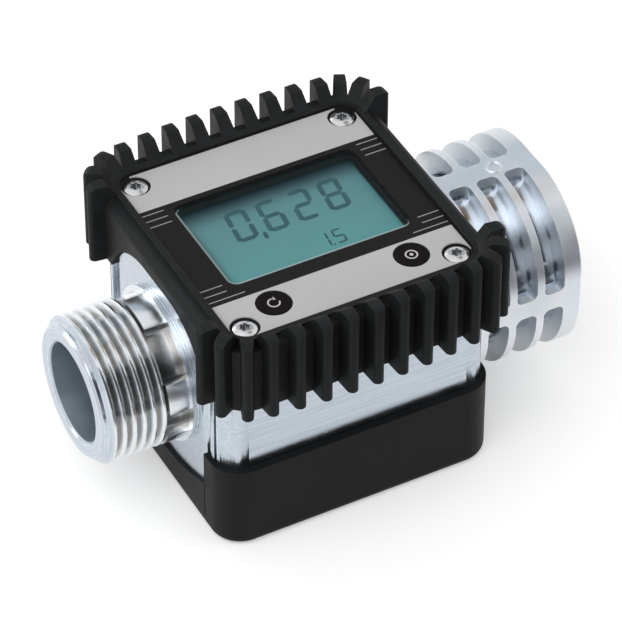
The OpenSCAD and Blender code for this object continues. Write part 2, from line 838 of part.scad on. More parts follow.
module straight_fin(reach) {
  // one fin pointing along +X from the middle
  start = (lip_out_w - lip_w) / 2;
  intersection() {
    translate([0, big / 2, z_axis]) rotate([90, 0, 0]) linear_extrude(big) fin_profile(reach, start);
    translate([0, 0, z_axis]) linear_extrude(big) fin_plan(reach, start);
  }
}

module corner_fins() {
  // the fins that fan out around one corner
  start = (lip_out_l - lip_w) / 2 - corner_x;
  intersection() {
    translate([0, 0, z_axis]) rotate_extrude() fin_profile(corner_reach, start);
    translate([0, 0, z_axis]) linear_extrude(big)
      for (a = [corner_a, corner_b, corner_c]) rotate(a) fin_plan(corner_reach, start);
  }
}

module finned_guard() {
  color([0.13, 0.14, 0.14]) difference() {
    union() {
      slab(guard_l, guard_w, guard_r, z_shoulder, z_guard);
      slab(lip_out_l, lip_out_w, lip_r + lip_w / 2, z_guard - lap, z_guard + lip_up);
      for (s = [-1, 1], k = [-fin_half : fin_half])
        translate([k * fin_pitch, 0, 0]) rotate(s * 90)
          straight_fin(fin_reach - fin_bow * (k / fin_half) * (k / fin_half));
      for (sy = [0, 1]) rotate(sy * 180) {
        translate([corner_x, corner_y, 0]) corner_fins();
        mirror([1, 0, 0]) translate([corner_x, corner_y, 0]) corner_fins();
      }
    }
    // room for the head inside
    slab(guard_in_l, guard_in_w, head_r + 2 * gap, z_shoulder - lap, z_face - label_t);
    slab(lip_in_l, lip_in_w, lip_r - lip_w / 2, z_shoulder, z_guard + lip_up + lap);
    // arches over the pipe ends
    section_x(-big, big) arch(0);
  }
}

// Battery bay and lower cover

module battery_leads() {
  low = z_floor + wire_low;
  color([0.6, 0.1, 0.1]) for (s = [-1, 1]) translate([wire_x + s * wire_gap, wire_y, low])
    cylinder(h = z_board + board_t - low, r = wire_r);
}

module battery_cells() {
  color([0.2, 0.35, 0.5]) for (s = [-1, 1]) translate([0, s * cell_y, cell_z]) rotate([0, s * 90, 0]) {
    translate([0, 0, -cell_l / 2]) cylinder(h = cell_l - cell_nub, r = cell_r);
    translate([0, 0, cell_l / 2 - cell_nub - tiny]) cylinder(h = cell_nub + tiny, r = cell_nub_r);
  }
}

module battery_contacts() {
  // a plate and a bent leaf at each end of each cell
  end_x = bay_l / 2 - gap;
  reach = end_x - cell_l / 2 - gap;
  color([0.8, 0.78, 0.7]) for (sx = [-1, 1], sy = [-1, 1]) translate([0, sy * cell_y, cell_z]) {
    translate([sx * (end_x - contact_t / 2), 0, 0]) cube([contact_t, contact_w, contact_h], center = true);
    translate([sx * (cell_l / 2 + gap + reach / 2), 0, -contact_h / 4])
      cube([reach, leaf_w, contact_t], center = true);
    translate([sx * (cell_l / 2 + gap + contact_t / 2), 0, 0])
      cube([contact_t, leaf_pad, contact_h / 2 + contact_t], center = true);
  }
}

module cover_gasket() {
  color([0.2, 0.2, 0.2]) difference() {
    slab(bay_l + 2 * seal_w, bay_w + 2 * seal_w, bay_r + seal_w, z_floor - seal_t, z_floor);
    slab(bay_l + 2 * seal_in, bay_w + 2 * seal_in, bay_r, z_floor - seal_t - lap, z_floor + lap);
    at_corners(boss_x, boss_y) translate([0, 0, z_floor - seal_t - lap])
      cylinder(h = seal_t + 2 * lap, r = boss_room);
  }
}

module lower_cover() {
  inner_l = block_l - 2 * groove_d + 2 * gap;
  inner_w = block_w + 2 * gap;
  color([0.12, 0.13, 0.13]) difference() {
    soft_block(cover_l, cover_w, z_lip, cover_r, cover_edge);
    // the block's lower end sits in here
    slab(inner_l, inner_w, block_r, z_floor, z_lip + lap);
    slab(bay_l + 2 * seal_w + gap, bay_w + 2 * seal_w + gap, bay_r + seal_w, z_floor - seal_t, z_floor + lap);
    // the cells' half of the bay
    slab(bay_l, bay_w, bay_r, cover_floor, z_floor + lap);
    // the end walls are open above their edge, between the corners
    section_x(-big, big) intersection() {
      end_opening(0);
      square([2 * (flat_y + gap), 2 * cover_arc], center = true);
    }
    // a thin upright line on either side of that opening
    line_low = cover_edge + lap;
    line_high = z_axis - cover_end + cover_arc - sqrt(cover_arc * cover_arc - flat_y * flat_y);
    at_corners(cover_l / 2, flat_y + gap + line_w / 2) translate([-line_d, -line_w / 2, line_low])
      cube([2 * line_d, line_w, line_high - line_low]);
    // screws
    at_corners(boss_x, boss_y) translate([0, 0, -lap]) {
      cylinder(h = big, r = cover_screw_r + hole_gap);
      cylinder(h = lap + cover_head_in + cover_head_t, r = cover_head_r + slip);
    }
  }
}

module cover_screws() {
  seat = cover_head_in + cover_head_t;
  color([0.5, 0.5, 0.52]) at_corners(boss_x, boss_y) difference() {
    union() {
      translate([0, 0, cover_head_in]) cylinder(h = cover_head_t, r = cover_head_r);
      translate([0, 0, seat - tiny]) cylinder(h = z_floor + cover_screw_deep - seat, r = cover_screw_r);
    }
    // crossed slots
    for (a = [0, 90]) rotate(a) translate([-slot_l / 2, -slot_w / 2, 0])
      cube([slot_l, slot_w, cover_head_in + skin]);
  }
}

meter_body();
inlet_support();
outlet_support();
chamber_sleeve();
rotor_shaft();
turbine_rotor();
rotor_bushes();
rotor_magnets();
retaining_ring();
pulse_sensor();
head_gasket();
display_tray();
finned_guard();
circuit_board();
board_parts();
button_switches();
lcd_strips();
lcd_panel();
window_lens();
face_plate();
face_label();
reset_button();
cal_button();
face_screws();
battery_leads();
battery_cells();
battery_contacts();
cover_gasket();
lower_cover();
cover_screws();
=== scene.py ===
import json
import math
import bmesh
import bpy
from mathutils import Matrix, Vector

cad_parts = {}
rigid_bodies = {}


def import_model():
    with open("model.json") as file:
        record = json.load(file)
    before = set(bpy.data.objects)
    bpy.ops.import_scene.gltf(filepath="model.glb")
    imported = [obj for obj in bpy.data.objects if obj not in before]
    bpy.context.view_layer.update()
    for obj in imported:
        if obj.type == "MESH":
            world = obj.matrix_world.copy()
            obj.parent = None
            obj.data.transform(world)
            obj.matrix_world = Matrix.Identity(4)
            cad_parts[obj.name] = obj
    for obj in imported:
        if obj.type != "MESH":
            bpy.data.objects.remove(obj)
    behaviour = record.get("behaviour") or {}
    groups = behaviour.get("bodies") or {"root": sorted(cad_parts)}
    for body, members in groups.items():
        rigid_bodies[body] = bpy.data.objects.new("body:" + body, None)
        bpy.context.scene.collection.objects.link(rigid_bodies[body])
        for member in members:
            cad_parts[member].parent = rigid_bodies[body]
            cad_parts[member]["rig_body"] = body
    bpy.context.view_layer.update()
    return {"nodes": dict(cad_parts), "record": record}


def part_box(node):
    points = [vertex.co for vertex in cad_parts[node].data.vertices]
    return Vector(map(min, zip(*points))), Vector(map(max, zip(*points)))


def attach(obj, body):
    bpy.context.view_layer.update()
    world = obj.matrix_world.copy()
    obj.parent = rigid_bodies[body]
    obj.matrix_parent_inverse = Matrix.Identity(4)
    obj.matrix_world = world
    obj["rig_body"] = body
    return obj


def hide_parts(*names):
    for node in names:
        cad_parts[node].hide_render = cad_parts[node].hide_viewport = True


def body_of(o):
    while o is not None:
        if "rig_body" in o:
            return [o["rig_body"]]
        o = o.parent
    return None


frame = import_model()
mm = 0.001

# Camera
# The meter is seen from its front left corner and well above, through a long lens. Angles
# go round from the front and up from the table, and the camera aims near the pipe's axis.
mounts = {mount["name"]: mount for mount in frame["record"]["mounts"]}
axis_z = mounts["inlet_thread"]["pos_m"][2]
camera_azimuth, camera_elevation, camera_roll = (math.radians(a) for a in (-28.067, 41.829, 0.131))
camera_distance, camera_right, camera_up = 897.21 * mm, 3.45 * mm, 0.70 * mm
focal_px, photo_px, sensor_mm, sight = 4158.4, 622, 36, 10


def toward(azimuth, elevation):
    """The direction from the meter to a spot at these angles."""
    return Vector((math.sin(azimuth) * math.cos(elevation), -math.cos(azimuth) * math.cos(elevation),
                   math.sin(elevation)))


back = toward(camera_azimuth, camera_elevation)
right = Vector((math.cos(camera_azimuth), math.sin(camera_azimuth), 0))
up = back.cross(right)
rolled_right = right * math.cos(camera_roll) + up * math.sin(camera_roll)
rolled_up = up * math.cos(camera_roll) - right * math.sin(camera_roll)
turn = Matrix((rolled_right, rolled_up, back)).transposed()
spot = back * camera_distance + right * camera_right + up * camera_up + Vector((0, 0, axis_z))
camera_data = bpy.data.cameras.new("photo_camera")
camera_data.sensor_width = sensor_mm
camera_data.lens = focal_px / photo_px * sensor_mm
camera_data.clip_end = sight
camera = bpy.data.objects.new("photo_camera", camera_data)
bpy.context.scene.collection.objects.link(camera)
camera.matrix_world = Matrix.Translation(spot) @ turn.to_4x4()
bpy.context.scene.camera = camera

# Studio
# A pale table under large soft boxes, with a white surround. Five cards stand round it, four
# dark and one pale. Only shiny surfaces show them, and they give the bright metal its contrast.
flat_area, smooth_angle = 60 * mm * mm, math.radians(35)
white = (1, 1, 1, 1)


def mesh_object(name, bm):
    """Makes an object at the origin, smooth but for its sharp edges and its large flat faces."""
    data = bpy.data.meshes.new(name)
    bm.to_mesh(data)
    bm.edges.index_update()
    flat_sides = [e.index for e in bm.edges if any(f.calc_area() > flat_area for f in e.link_faces)]
    bm.free()
    data.shade_smooth()
    data.set_sharp_from_angle(angle=smooth_angle)
    for index in flat_sides:
        data.edges[index].use_edge_sharp = True
    piece = bpy.data.objects.new(name, data)
    bpy.context.scene.collection.objects.link(piece)
    return piece


def new_material(name):
    """Gives a material, its node tree and its Principled shader."""
    material = bpy.data.materials.new(name)
    material.use_nodes = True
    tree = material.node_tree
    return material, tree, tree.nodes["Principled BSDF"]


def add_node(tree, kind, inputs=(), **settings):
    """Adds a shader node, sets its properties, and sets or links the inputs given."""
    node = tree.nodes.new("ShaderNode" + kind)
    for key, value in settings.items():
        setattr(node, key, value)
    for key, value in dict(inputs).items():
        if isinstance(value, bpy.types.NodeSocket):
            tree.links.new(value, node.inputs[key])
        else:
            node.inputs[key].default_value = value
    return node


def calc(tree, operation, *values):
    """A Math node with the given numbers or sockets."""
    return add_node(tree, "Math", dict(enumerate(values)), operation=operation).outputs[0]


def seen_directly(tree):
    """One for rays of the camera, and for rays that shiny metal or glass sends on."""
    path = add_node(tree, "LightPath")
    either = calc(tree, "MAXIMUM", path.outputs["Is Camera Ray"], path.outputs["Is Glossy Ray"])
    return calc(tree, "MAXIMUM", either, path.outputs["Is Transmission Ray"])


table_half, table_gap, table_lift, table_pale = 1500 * mm, 0.1 * mm, 0.30, (0.80, 0.80, 0.80, 1)
bm = bmesh.new()
bmesh.ops.create_grid(bm, x_segments=1, y_segments=1, size=table_half,
                      matrix=Matrix.Translation((0, 0, -table_gap)))
table = mesh_object("table", bm)
table_material, tree, shader = new_material("pale_table")
shader.inputs["Base Color"].default_value = table_pale
shader.inputs["Roughness"].default_value = 0.8
shader.inputs["Emission Color"].default_value = white
table_glow = calc(tree, "MULTIPLY", seen_directly(tree), table_lift)
tree.links.new(table_glow, shader.inputs["Emission Strength"])
from_below = add_node(tree, "NewGeometry").outputs["Backfacing"]
tree.links.new(calc(tree, "SUBTRACT", 1.0, from_below), shader.inputs["Alpha"])
table.data.materials.append(table_material)

surround_light, surround_seen = 0.66, 1.0
world = bpy.data.worlds.new("studio")
bpy.context.scene.world = world
world.use_nodes = True
tree = world.node_tree
surround = tree.nodes["Background"]
level = add_node(tree, "MapRange", {"Value": seen_directly(tree), "To Min": surround_light,
                                    "To Max": surround_seen})
tree.links.new(level.outputs["Result"], surround.inputs["Strength"])
surround.inputs["Color"].default_value = white


def card(name, azimuth, elevation, distance, size, colour, lean=None):
    """A matt card that faces the meter, or leans as given, and that only shiny surfaces show."""
    bm = bmesh.new()
    bmesh.ops.create_grid(bm, x_segments=1, y_segments=1, size=0.5)
    bmesh.ops.scale(bm, verts=bm.verts, vec=(*size, 1))
    tilt = math.radians(90 - (elevation if lean is None else lean))
    azimuth, elevation = math.radians(azimuth), math.radians(elevation)
    turned = Matrix.Rotation(azimuth, 3, "Z") @ Matrix.Rotation(tilt, 3, "X")
    bmesh.ops.rotate(bm, verts=bm.verts, matrix=turned)
    bmesh.ops.translate(bm, verts=bm.verts, vec=toward(azimuth, elevation) * distance)
    flag = mesh_object(name, bm)
    flag.visible_camera = flag.visible_diffuse = flag.visible_shadow = False
    material, tree, shader = new_material(name)
    shader.inputs["Base Color"].default_value = (*colour, 1)
    shader.inputs["Roughness"].default_value = 0.9
    shader.inputs["Specular IOR Level"].default_value = 0.0
    flag.data.materials.append(material)


card("warm_dark_card", azimuth=-28, elevation=40, distance=1.2, size=(0.9, 0.55), colour=(0.10, 0.085, 0.07))
card("blue_dark_card", azimuth=21, elevation=31, distance=1.0, size=(0.8, 1.15), colour=(0.06, 0.072, 0.088))
# The low card lies flat on the table in front: a painted shadow of the table, as the metal reflects it.
card("low_shadow_card", azimuth=10, elevation=0.5, distance=0.34, size=(0.8, 0.5), colour=(0.08, 0.085, 0.09),
     lean=90)
card("overhead_card", azimuth=104, elevation=69, distance=1.0, size=(0.35, 0.30), colour=(0.30, 0.20, 0.13))
card("pale_back_card", azimuth=152, elevation=44, distance=1.1, size=(0.9, 0.45), colour=(0.50, 0.57, 0.63))


def soft_lamp(name, place, size, power):
    """A soft box aimed at the meter."""
    data = bpy.data.lights.new(name, "AREA")
    data.shape = "RECTANGLE"
    data.size, data.size_y = size
    data.energy = power
    lamp = bpy.data.objects.new(name, data)
    bpy.context.scene.collection.objects.link(lamp)
    lamp.location = place
    aim = Vector((0, 0, axis_z)) - lamp.location
    lamp.rotation_euler = aim.to_track_quat("-Z", "Y").to_euler()


soft_lamp("key_lamp", place=(-0.55, -0.30, 0.80), size=(0.90, 0.70), power=4.6)
soft_lamp("fill_lamp", place=(0.70, -0.55, 0.50), size=(0.60, 0.60), power=1.5)
soft_lamp("rim_lamp", place=(-0.50, 0.85, 0.45), size=(0.80, 0.35), power=2.2)

# Cast body
# One aluminium casting carries the whole meter. Its inlet is turned and threaded, its front and
# end faces are milled, and the rest keeps the fine skin of the mould, polished by tumbling. Its
# thread crests and rib tops carry a painted highlight, its edges wear mixed with a painted
# highlight, and its thread valleys, collar pockets and bore a painted shade.
merge_gap, flat_angle = 0.001 * mm, math.radians(0.5)
round_angle = math.radians(28)
colour_sockets, mixed_colour = (6, 7), 2
vector_sockets, mixed_vector = (4, 5), 1


def corners(node):
    """The lowest and the highest corner of a CAD node."""
    return [Vector(corner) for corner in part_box(node)]


def spot_parts(tree):
    """The X, Y and Z of the shaded spot."""
    where = add_node(tree, "TexCoord").outputs["Object"]
    return add_node(tree, "SeparateXYZ", {"Vector": where}).outputs


def apart(tree, first, second):
    """The distance made by one length and another at right angles to it."""
    squares = [calc(tree, "MULTIPLY", length, length) for length in (first, second)]
    return calc(tree, "SQRT", calc(tree, "ADD", *squares))


def shader_group(name, inputs, outputs):
    """An empty node group with named inputs, given with their defaults, and float outputs."""
    tree = bpy.data.node_groups.new(name, "ShaderNodeTree")
    for label, value in inputs.items():
        kind = "NodeSocketVector" if isinstance(value, tuple) else "NodeSocketFloat"
        tree.interface.new_socket(label, in_out="INPUT", socket_type=kind).default_value = value
    for label in outputs:
        tree.interface.new_socket(label, in_out="OUTPUT", socket_type="NodeSocketFloat")
    return tree, tree.nodes.new("NodeGroupInput").outputs, tree.nodes.new("NodeGroupOutput").inputs


def grain_group():
    """Fine surface grain: a height and a mottled mask from two sizes of noise."""
    tree, given, result = shader_group(
        "surface_grain", {"Fine": 4000.0, "Coarse": 250.0, "Stretch": (1, 1, 1)}, ("Height", "Mottle"))
    where = add_node(tree, "TexCoord").outputs["Object"]
    stretched = add_node(tree, "VectorMath", {0: where, 1: given["Stretch"]}, operation="MULTIPLY").outputs[0]
    fine = add_node(tree, "TexNoise", {"Vector": stretched, "Scale": given["Fine"], "Detail": 3.0})
    coarse = add_node(tree, "TexNoise", {"Vector": where, "Scale": given["Coarse"], "Detail": 3.0})
    tree.links.new(fine.outputs["Fac"], result["Height"])
    mottle = add_node(tree, "MapRange", {"Value": coarse.outputs["Fac"], "From Min": 0.3, "From Max": 0.7})
    tree.links.new(mottle.outputs["Result"], result["Mottle"])
    return tree


def wear_group():
    """Edge wear, and on cast metal a painted highlight: one on the edges, broken up by noise, and nought on
    the open faces.
    """
    tree, given, result = shader_group(
        "edge_wear", {"Radius": 0.4 * mm, "Gain": 6.0, "Patches": 900.0}, ("Mask",))
    rounded = add_node(tree, "Bevel", {"Radius": given["Radius"]}, samples=4).outputs["Normal"]
    flat = add_node(tree, "NewGeometry").outputs["Normal"]
    same = add_node(tree, "VectorMath", {0: rounded, 1: flat}, operation="DOT_PRODUCT").outputs["Value"]
    edge = calc(tree, "MULTIPLY", calc(tree, "SUBTRACT", 1.0, same), given["Gain"])
    where = add_node(tree, "TexCoord").outputs["Object"]
    patches = add_node(tree, "TexNoise", {"Vector": where, "Scale": given["Patches"], "Detail": 3.0})
    broken = add_node(tree, "MapRange", {"Value": patches.outputs["Fac"], "From Min": 0.35, "From Max": 0.65})
    worn = calc(tree, "MULTIPLY", edge, broken.outputs["Result"])
    tree.links.new(add_node(tree, "Clamp", {"Value": worn}).outputs["Result"], result["Mask"])
    return tree


def turned_group():
    """Turning and milling marks: rings round the pipe near its ends, and straight ones elsewhere."""
    along_share, band_share = 0.03, 0.2
    tree, given, result = shader_group(
        "tool_marks", {"Axis Height": 30 * mm, "Block End": 33 * mm, "Pitch": 9000.0}, ("Height", "Streak"))
    part = spot_parts(tree)
    rise = calc(tree, "SUBTRACT", part["Z"], given["Axis Height"])
    rings = add_node(tree, "CombineXYZ", {"X": part["X"], "Y": apart(tree, part["Y"], rise)})
    drawn_out = calc(tree, "MULTIPLY", part["X"], along_share)
    lines = add_node(tree, "CombineXYZ", {"X": drawn_out, "Y": part["Y"], "Z": part["Z"]})
    beyond = calc(tree, "GREATER_THAN", calc(tree, "ABSOLUTE", part["X"]), given["Block End"])
    paths = dict(zip(vector_sockets, (lines.outputs[0], rings.outputs[0])))
    path = add_node(tree, "Mix", {"Factor": beyond, **paths}, data_type="VECTOR").outputs[mixed_vector]
    marks = add_node(tree, "TexNoise", {"Vector": path, "Scale": given["Pitch"], "Detail": 2.0})
    tree.links.new(marks.outputs["Fac"], result["Height"])
    wide = calc(tree, "MULTIPLY", given["Pitch"], band_share)
    bands = add_node(tree, "TexNoise", {"Vector": path, "Scale": wide, "Detail": 4.0})
    streak = add_node(tree, "MapRange", {"Value": bands.outputs["Fac"], "From Min": 0.35, "From Max": 0.65})
    tree.links.new(streak.outputs["Result"], result["Streak"])
    return tree


surface_grain, edge_wear, tool_marks = grain_group(), wear_group(), turned_group()


def placed(tree, group, **values):
    """Puts a node group into a material with its own values, and gives its outputs."""
    node = add_node(tree, "Group", node_tree=group)
    for label, value in values.items():
        node.inputs[label.replace("_", " ")].default_value = value
    return node.outputs


def blended(tree, factor, first, second):
    """A colour between two others, each a tuple or a socket."""
    colours = [c if isinstance(c, bpy.types.NodeSocket) else (*c, 1) for c in (first, second)]
    mix = add_node(tree, "Mix", {"Factor": factor, **dict(zip(colour_sockets, colours))}, data_type="RGBA")
    return mix.outputs[mixed_colour]


def shaded(colour, share):
    """The colour made lighter or darker by a share."""
    return tuple(min(1.0, c * (1 + share)) for c in colour)


def ranged(tree, value, low, high):
    """A value that goes from low to high as the given one goes from nought to one."""
    return add_node(tree, "MapRange", {"Value": value, "To Min": low, "To Max": high}).outputs["Result"]


def raised(tree, height, strength, depth, **under):
    """The normal of a skin that a height raises, over the Normal of another relief if given."""
    inputs = {"Height": height, "Strength": strength, "Distance": depth, **under}
    return add_node(tree, "Bump", inputs).outputs["Normal"]


def copied(node):
    """A bmesh of a CAD node, with its triangles joined into the flat faces that they make."""
    bm = bmesh.new()
    bm.from_mesh(frame["nodes"][node].data)
    bmesh.ops.remove_doubles(bm, verts=bm.verts, dist=merge_gap)
    bmesh.ops.dissolve_limit(bm, angle_limit=flat_angle, verts=bm.verts, edges=bm.edges,
                             use_dissolve_boundaries=False)
    return bm


def eased(bm, node, name, material, width, segments=2):
    """Makes the copy of a CAD node a piece with rounded edges, which stands for the node."""
    piece = mesh_object(name, bm)
    round_off = piece.modifiers.new("eased_edges", "BEVEL")
    round_off.width = width
    round_off.segments = segments
    round_off.limit_method = "ANGLE"
    round_off.angle_limit = round_angle
    round_off.harden_normals = True
    round_off.miter_outer = "MITER_ARC"
    piece.data.materials.append(material)
    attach(piece, body_of(frame["nodes"][node])[0])
    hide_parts(node)
    return piece


cast_colour, cast_streak_and_highlight, cast_wear_and_highlight = (0.46, 0.515, 0.58), (0.72, 0.755, 0.79), (0.93, 0.94, 0.95)
thread_valley_shade, pocket_shade, bore_shade = (0.47, 0.47, 0.465), (0.47, 0.51, 0.56), (0.42, 0.48, 0.53)
mottle_share, streak_share = 0.05, 0.35
cast_smooth, cast_rough, bore_rougher, pocket_rougher, rib_rougher = 0.18, 0.28, 0.25, -0.08, 0.17
block_end, bore_end, bore_r = 32.6 * mm, 20.5 * mm, 11.45 * mm
face_ring, crest_floor, pocket_floor, recess_soft = 2.2 * mm, 15.7 * mm, 19.8 * mm, 0.6 * mm
inlet_face = corners("meter_body")[0].x
cast_metal, tree, shader = new_material("cast_aluminium")
grain = placed(tree, surface_grain, Fine=2200.0, Coarse=140.0)
wear = placed(tree, edge_wear, Radius=0.5 * mm, Gain=8.0)["Mask"]
marks = placed(tree, tool_marks, Axis_Height=axis_z, Block_End=block_end)
part = spot_parts(tree)
off_axis = apart(tree, part["Y"], calc(tree, "SUBTRACT", part["Z"], axis_z))
in_bore = calc(tree, "MULTIPLY", calc(tree, "LESS_THAN", off_axis, bore_r),
               calc(tree, "LESS_THAN", part["X"], -bore_end))
on_pipe = calc(tree, "MULTIPLY", calc(tree, "GREATER_THAN", calc(tree, "ABSOLUTE", part["X"]), block_end),
               calc(tree, "GREATER_THAN", part["X"], inlet_face + face_ring))
at_outlet = calc(tree, "GREATER_THAN", part["X"], 0.0)
floor_r = calc(tree, "MULTIPLY_ADD", at_outlet, pocket_floor - crest_floor, crest_floor)
above_floor = calc(tree, "DIVIDE", calc(tree, "SUBTRACT", off_axis, floor_r), recess_soft)
risen = add_node(tree, "Clamp", {"Value": above_floor}).outputs["Result"]
# Painted shade: below the crest and pocket floors the pipe is coloured darker.
recess = calc(tree, "MULTIPLY", on_pipe, calc(tree, "SUBTRACT", 1.0, risen))
# Painted highlight: above those floors the thread crests and rib tops are coloured lighter.
crest_highlight = calc(tree, "MULTIPLY", on_pipe, risen)
skin = blended(tree, grain["Mottle"], shaded(cast_colour, -mottle_share), shaded(cast_colour, mottle_share))
skin = blended(tree, calc(tree, "MULTIPLY", marks["Streak"], streak_share), skin, cast_streak_and_highlight)
skin = blended(tree, crest_highlight, skin, cast_streak_and_highlight)
# The edges take a pale colour that is partly wear and partly a painted highlight.
skin = blended(tree, wear, skin, cast_wear_and_highlight)
skin = blended(tree, recess, skin, blended(tree, at_outlet, thread_valley_shade, pocket_shade))
# Painted shade: the bore is coloured darker.
tree.links.new(blended(tree, in_bore, skin, bore_shade), shader.inputs["Base Color"])
rough = ranged(tree, grain["Mottle"], cast_smooth, cast_rough)
rough = calc(tree, "MULTIPLY_ADD", in_bore, bore_rougher, rough)
rough = calc(tree, "MULTIPLY_ADD", calc(tree, "MULTIPLY", recess, at_outlet), pocket_rougher, rough)
rough = calc(tree, "MULTIPLY_ADD", calc(tree, "MULTIPLY", crest_highlight, at_outlet), rib_rougher, rough)
tree.links.new(rough, shader.inputs["Roughness"])
cast_relief = raised(tree, grain["Height"], strength=0.25, depth=0.03 * mm)
mark_relief = raised(tree, marks["Height"], strength=0.4, depth=0.02 * mm, Normal=cast_relief)
tree.links.new(mark_relief, shader.inputs["Normal"])
shader.inputs["Metallic"].default_value = 1.0
eased(copied("meter_body"), "meter_body", "cast_body", cast_metal, width=0.35 * mm, segments=3)

# Turbine cartridge
# Two moulded supports hold the shaft in the chamber, with a sleeve between them and a sprung
# steel ring behind. The rotor is moulded, with bronze bushes and two magnets for the pickup.
rough_spread, grain_depth, worn_share = 0.1, 0.02 * mm, 0.5


def grained(name, colour, roughness, metallic=0.0, fine=4000.0, coarse=250.0, stretch=(1.0, 1.0, 1.0),
            bump=0.2, tint=0.12, worn=None, wear_radius=0.3 * mm, specular=0.15):
    """A plain stuff: its colour and roughness drift with the mottle, its edges wear, its skin has grain."""
    material, tree, shader = new_material(name)
    grain = placed(tree, surface_grain, Fine=fine, Coarse=coarse, Stretch=stretch)
    wear = placed(tree, edge_wear, Radius=wear_radius)["Mask"]
    body = blended(tree, grain["Mottle"], shaded(colour, -tint), shaded(colour, tint))
    skin = blended(tree, wear, body, worn or shaded(colour, worn_share))
    tree.links.new(skin, shader.inputs["Base Color"])
    rough = ranged(tree, grain["Mottle"], roughness - rough_spread / 2, roughness + rough_spread / 2)
    tree.links.new(rough, shader.inputs["Roughness"])
    tree.links.new(raised(tree, grain["Height"], bump, grain_depth), shader.inputs["Normal"])
    shader.inputs["Metallic"].default_value = metallic
    shader.inputs["Specular IOR Level"].default_value = specular
    return material


def finished(material, *nodes):
    """Gives CAD nodes that keep their shape a finish."""
    for node in nodes:
        frame["nodes"][node].data.materials.clear()
        frame["nodes"][node].data.materials.append(material)


support_plastic = grained("support_plastic", colour=(0.05, 0.052, 0.055), roughness=0.45, fine=6000.0)
rotor_plastic = grained("rotor_plastic", colour=(0.72, 0.71, 0.67), roughness=0.4, fine=6000.0, tint=0.04)
bushing_bronze = grained("bushing_bronze", colour=(0.55, 0.38, 0.18), roughness=0.3, metallic=1.0,
                         stretch=(1.0, 0.1, 0.1))
drawn_steel = grained("drawn_steel", colour=(0.62, 0.62, 0.63), roughness=0.24, metallic=1.0, fine=3000.0,
                      stretch=(0.05, 1.0, 1.0), tint=0.06)
magnet_nickel = grained("magnet_nickel", colour=(0.42, 0.41, 0.39), roughness=0.3, metallic=1.0, tint=0.05)
finished(support_plastic, "inlet_support", "outlet_support", "chamber_sleeve", "pulse_sensor")
finished(rotor_plastic, "turbine_rotor")
finished(bushing_bronze, "rotor_bushes")
finished(magnet_nickel, "rotor_magnets")
finished(drawn_steel, "rotor_shaft", "retaining_ring")

# Electronics
# The circuit board rests in a moulded tray on a rubber gasket. It carries the chips, the two
# button switches and the carbon strips that feed the display.
seal_rubber = grained("seal_rubber", colour=(0.014, 0.014, 0.015), roughness=0.7, fine=5000.0, bump=0.35)
tray_plastic = grained("tray_plastic", colour=(0.018, 0.019, 0.02), roughness=0.5, fine=6000.0)
chip_epoxy = grained("chip_epoxy", colour=(0.02, 0.02, 0.022), roughness=0.55, fine=9000.0, bump=0.4)
strip_rubber = grained("strip_rubber", colour=(0.45, 0.46, 0.48), roughness=0.6, fine=5000.0)
finished(seal_rubber, "head_gasket", "cover_gasket")
finished(tray_plastic, "display_tray")
finished(chip_epoxy, "board_parts")
finished(drawn_steel, "button_switches")
finished(strip_rubber, "lcd_strips")

board_green, copper_green = (0.008, 0.09, 0.035), (0.03, 0.2, 0.07)
track_scale, track_half = 700.0, 0.06
board_mask, tree, shader = new_material("board_solder_mask")
where = add_node(tree, "TexCoord").outputs["Object"]
tracks = add_node(tree, "TexVoronoi", {"Vector": where, "Scale": track_scale}, distance="MANHATTAN",
                  feature="DISTANCE_TO_EDGE")
on_track =calc(tree, "LESS_THAN", tracks.outputs["Distance"], track_half)
tree.links.new(blended(tree, on_track, board_green, copper_green), shader.inputs["Base Color"])
tree.links.new(raised(tree, on_track, strength=0.5, depth=0.02 * mm), shader.inputs["Normal"])
shader.inputs["Roughness"].default_value = 0.3
finished(board_mask, "circuit_board")

# Display
# A reflective liquid crystal panel lies under the window. Its dark segments stand a hair above
# the teal ground, which is painted lighter at the front and darker at the back, with painted
# shade along the back and left edges of the frame.
display_low, display_high = corners("lcd_panel")
teal_light, teal_deep, teal_shade = (0.105, 0.345, 0.350), (0.095, 0.225, 0.245), (0.003, 0.016, 0.022)
shade_back, shade_left, hidden_edge, left_share, cell_share = 7.5 * mm, 2.5 * mm, 1.5 * mm, 0.6, 0.12
back_edge, left_edge = display_high.y - hidden_edge, display_low.x + hidden_edge
display_teal, tree, shader = new_material("display_teal")
part = spot_parts(tree)
across = add_node(tree, "MapRange", {"Value": part["Y"], "From Min": display_low.y,
                                     "From Max": display_high.y})
from_back = add_node(tree, "MapRange", {"Value": part["Y"], "From Min": back_edge - shade_back,
                                        "From Max": back_edge}, interpolation_type="SMOOTHSTEP")
from_left = add_node(tree, "MapRange", {"Value": part["X"], "From Min": left_edge + shade_left,
                                        "From Max": left_edge}, interpolation_type="SMOOTHSTEP")
shade = calc(tree, "MAXIMUM", from_back.outputs["Result"],
             calc(tree, "MULTIPLY", from_left.outputs["Result"], left_share))
cells = placed(tree, surface_grain, Fine=5000.0, Coarse=120.0)
# Painted light and shade: the ground goes from lighter at the front to darker at the back.
ground = blended(tree, across.outputs["Result"], teal_light, teal_deep)
ground = blended(tree, calc(tree, "MULTIPLY", cells["Mottle"], cell_share), ground, teal_deep)
tree.links.new(blended(tree, shade, ground, teal_shade), shader.inputs["Base Color"])
shader.inputs["Roughness"].default_value = 0.35
finished(display_teal, "lcd_panel")

